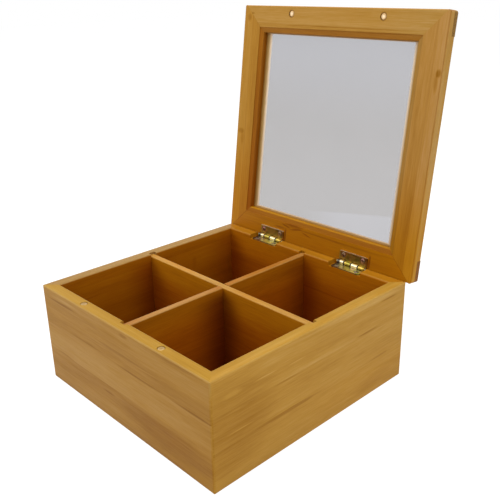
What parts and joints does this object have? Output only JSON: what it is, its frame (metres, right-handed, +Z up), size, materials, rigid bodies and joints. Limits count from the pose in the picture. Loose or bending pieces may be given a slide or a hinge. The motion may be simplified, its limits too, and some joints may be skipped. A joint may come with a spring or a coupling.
{
  "type": "tea bag organizer box",
  "caption": "Square bamboo tea bag box with crossed dividers and a framed, windowed lid on butt hinges, held shut by magnets.",
  "frame": {"origin": "centre of the base, on the surface that the box stands on", "axes": "+Z up, the front wall with the magnets faces -Y, the hinged side faces +Y, +X to the right seen from the front; the lid is open"},
  "size_m": [0.1854, 0.2126, 0.2518],
  "materials": {
    "box_bamboo": "caramelised bamboo laminate under a thin satin lacquer",
    "divider_bamboo": "thin bamboo board, satin",
    "lid_bamboo": "caramelised bamboo, satin lacquer",
    "window_pane": "clear pane with a light grey tint",
    "magnet_steel": "nickel plated",
    "hinge_plate": "yellow zinc plated steel",
    "screw_plate": "yellow zinc plated steel"
  },
  "bodies": {
    "box": {"front_wall": "box_bamboo", "back_wall": "box_bamboo", "left_wall": "box_bamboo", "right_wall": "box_bamboo", "bottom_panel": "box_bamboo", "long_divider": "divider_bamboo", "cross_divider": "divider_bamboo", "box_magnet_left": "magnet_steel", "box_magnet_right": "magnet_steel", "hinge_left_box_leaf": "hinge_plate", "hinge_left_pin": "hinge_plate", "hinge_right_box_leaf": "hinge_plate", "hinge_right_pin": "hinge_plate", "hinge_left_box_screws": "screw_plate", "hinge_right_box_screws": "screw_plate"},
    "lid": {"lid_front_rail": "lid_bamboo", "lid_back_rail": "lid_bamboo", "lid_left_stile": "lid_bamboo", "lid_right_stile": "lid_bamboo", "window_pane": "window_pane", "lid_magnet_left": "magnet_steel", "lid_magnet_right": "magnet_steel", "hinge_left_lid_leaf": "hinge_plate", "hinge_right_lid_leaf": "hinge_plate", "hinge_left_lid_screws": "screw_plate", "hinge_right_lid_screws": "screw_plate"}
  },
  "joints": [
    {"name": "lid_hinge", "type": "hinge", "parent": "box", "child": "lid", "pos_m": [0, 0.09, 0.07245], "axis": [1, 0, 0], "range_deg": [0, 97.3]}
  ]
}
